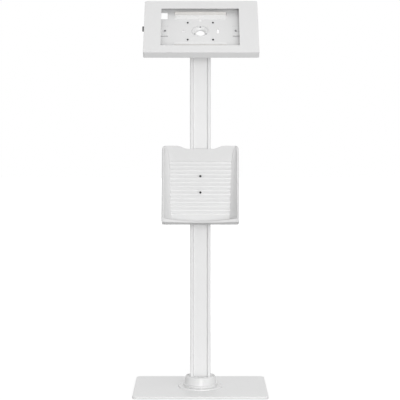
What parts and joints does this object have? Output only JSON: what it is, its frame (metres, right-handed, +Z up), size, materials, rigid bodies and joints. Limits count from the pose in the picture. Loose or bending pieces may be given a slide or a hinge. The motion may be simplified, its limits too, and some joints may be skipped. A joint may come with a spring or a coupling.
{
  "type": "tablet floor stand",
  "caption": "White floor stand with a flat base plate, channelled column, leaning catalogue tray and a lockable tilting and turning tablet enclosure.",
  "frame": {"origin": "on the floor under the middle of the base plate", "axes": "+X to the viewer's right, the front faces -Y, +Z up along the column"},
  "size_m": [0.4, 0.3, 1.1725],
  "materials": {
    "steel_white": "fine-grained white powder coat",
    "column_white": "white powder coat over aluminium",
    "tray_plastic": "satin white moulding",
    "collar_plastic": "semi-gloss white moulding",
    "zinc_steel": "bright zinc plate",
    "dark_screw": "black oxide",
    "grey_screw": "dull zinc plate",
    "lock_dark": "black lacquer",
    "lock_core": "satin nickel",
    "rubber_black": "matt",
    "nylon": "natural nylon",
    "foam": "soft off-white foam"
  },
  "bodies": {
    "stand": {"base_plate": "steel_white", "base_feet": "rubber_black", "foot_socket": "zinc_steel", "base_bolts": "zinc_steel", "socket_screws": "zinc_steel", "column": "column_white", "cable_grommets": "rubber_black", "foot_collar": "collar_plastic", "tray_bracket": "steel_white", "tray_bracket_screws": "zinc_steel", "tray_bracket_nuts": "zinc_steel", "tray": "tray_plastic", "tray_screws": "dark_screw", "tray_weld_nuts": "zinc_steel", "head_bracket": "steel_white", "head_bracket_screws": "zinc_steel", "tilt_bolt": "zinc_steel", "tilt_nut": "zinc_steel", "tilt_washers": "zinc_steel", "tilt_friction_washers": "nylon"},
    "tilt_frame": {"tilt_yoke": "steel_white", "swivel_hub": "steel_white", "swivel_hub_screws": "grey_screw", "swivel_washer": "nylon"},
    "enclosure": {"vesa_plate": "steel_white", "vesa_screws": "dark_screw", "rear_pan": "steel_white", "upper_rail": "steel_white", "lower_rail": "steel_white", "rail_rivets": "zinc_steel", "rail_foam": "foam", "clamp_screws": "dark_screw", "pan_hinge_leaves": "zinc_steel", "hinge_pins": "zinc_steel", "lock_catch": "zinc_steel"},
    "cover": {"front_cover": "steel_white", "cover_hinge_leaves": "zinc_steel", "lock_barrel": "lock_dark", "lock_clip": "zinc_steel"},
    "lock_core": {"lock_plug": "lock_core", "lock_cam": "zinc_steel", "lock_cam_screw": "zinc_steel"},
    "clamp_left": {"left_clamp": "steel_white", "left_clamp_pad": "foam"},
    "clamp_right": {"right_clamp": "steel_white", "right_clamp_pad": "foam"}
  },
  "joints": [
    {"name": "head_tilt", "type": "hinge", "parent": "stand", "child": "tilt_frame", "pos_m": [0, 0, 1.0539], "axis": [-1, 0, 0], "range_deg": [-45, 45]},
    {"name": "head_rotate", "type": "hinge", "parent": "tilt_frame", "child": "enclosure", "pos_m": [0, -0.02404, 1.07794], "axis": [0, -0.7071, 0.7071], "range_deg": [-90, 90]},
    {"name": "cover_hinge", "type": "hinge", "parent": "enclosure", "child": "cover", "pos_m": [0.1672, -0.02376, 1.07766], "axis": [0, 0.7071, 0.7071], "range_deg": [0, 105]},
    {"name": "lock_turn", "type": "hinge", "parent": "cover", "child": "lock_core", "pos_m": [-0.166, -0.03041, 1.08431], "axis": [1, 0, 0], "range_deg": [0, 90]},
    {"name": "left_clamp_slide", "type": "slide", "parent": "enclosure", "child": "clamp_left", "axis": [1, 0, 0], "range_m": [-0.001, 0.012]},
    {"name": "right_clamp_slide", "type": "slide", "parent": "enclosure", "child": "clamp_right", "axis": [-1, 0, 0], "range_m": [-0.001, 0.012]}
  ]
}
